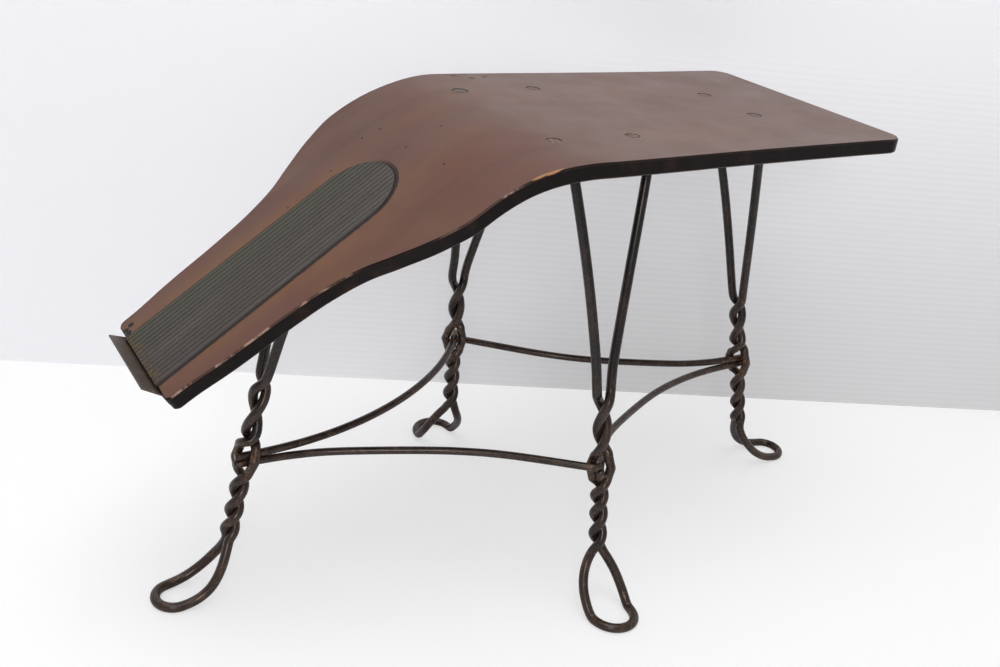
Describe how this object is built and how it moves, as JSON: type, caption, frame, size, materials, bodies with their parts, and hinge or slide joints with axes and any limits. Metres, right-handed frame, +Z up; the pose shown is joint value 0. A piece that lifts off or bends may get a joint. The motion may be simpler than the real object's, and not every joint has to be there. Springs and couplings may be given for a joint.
{
  "type": "shoe fitting stool",
  "caption": "Shop fitting stool: bent board with a sloping ribbed foot ramp and heel stop, on twisted wire legs with loop feet tied by bowed wire stretchers.",
  "frame": {"origin": "on the floor, under the middle of the stool's outer extents", "axes": "+Z up; the ramp runs down towards -X and the seat's back end faces +X; +Y is the far side in the picture"},
  "size_m": [0.7281, 0.3844, 0.4064],
  "materials": {
    "stained_board": "worn red-brown stain under satin lacquer",
    "ribbed_rubber": "matt, dusty dark grey-green",
    "stop_sheet": "dark brown oxidised sheet",
    "nail_steel": "darkened nail heads",
    "leg_wire": "dark bronze lacquer with coppery wear",
    "stretcher_wire": "dark bronze lacquer",
    "bolt_steel": "dulled steel",
    "plug_wood": "scratched stained wood"
  },
  "bodies": {
    "root": {"seat_board": "stained_board", "foot_tread": "ribbed_rubber", "heel_stop": "stop_sheet", "heel_stop_nails": "nail_steel", "front_leg": "leg_wire", "back_leg": "leg_wire", "left_leg": "leg_wire", "right_leg": "leg_wire", "front_left_stretcher": "stretcher_wire", "front_right_stretcher": "stretcher_wire", "back_left_stretcher": "stretcher_wire", "back_right_stretcher": "stretcher_wire", "leg_bolts": "bolt_steel", "leg_washers": "bolt_steel", "leg_nuts": "bolt_steel", "seat_plugs": "plug_wood"}
  },
  "joints": []
}
